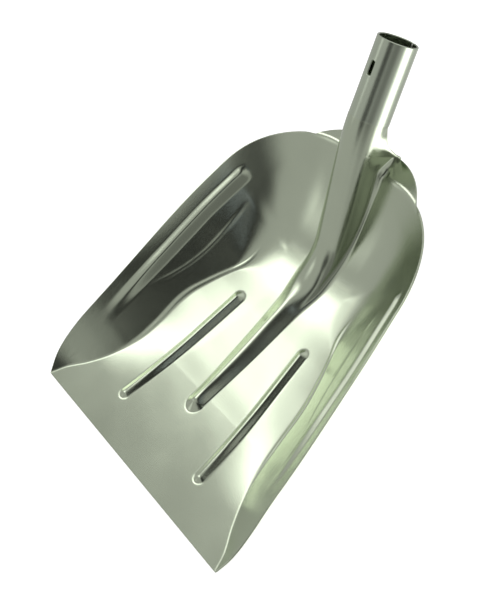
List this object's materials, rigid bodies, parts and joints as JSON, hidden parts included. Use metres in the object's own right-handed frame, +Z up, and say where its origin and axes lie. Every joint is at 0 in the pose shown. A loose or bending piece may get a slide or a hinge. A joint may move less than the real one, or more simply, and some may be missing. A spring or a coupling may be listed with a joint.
{
  "type": "feed scoop",
  "caption": "Wide open feed scoop with sloping walls, stiffening beads, a hollow neck and an angled open socket for a round wooden handle.",
  "frame": {"origin": "bottom centre of the bounding box: the plane the scoop rests on, midway across it and midway from the cutting edge to the socket's mouth", "axes": "+Z up, +Y from the cutting edge back towards the handle socket, +X towards the left hand of a person who holds the handle and looks forward"},
  "size_m": [0.3708, 0.4813, 0.188],
  "materials": {
    "blade_sheet": "satin, worn bright",
    "socket_tube": "satin, worn bright",
    "weld_bead": "rough, dull"
  },
  "bodies": {
    "root": {"scoop_blade": "blade_sheet", "handle_socket": "socket_tube", "socket_seam_weld": "weld_bead"}
  },
  "joints": []
}
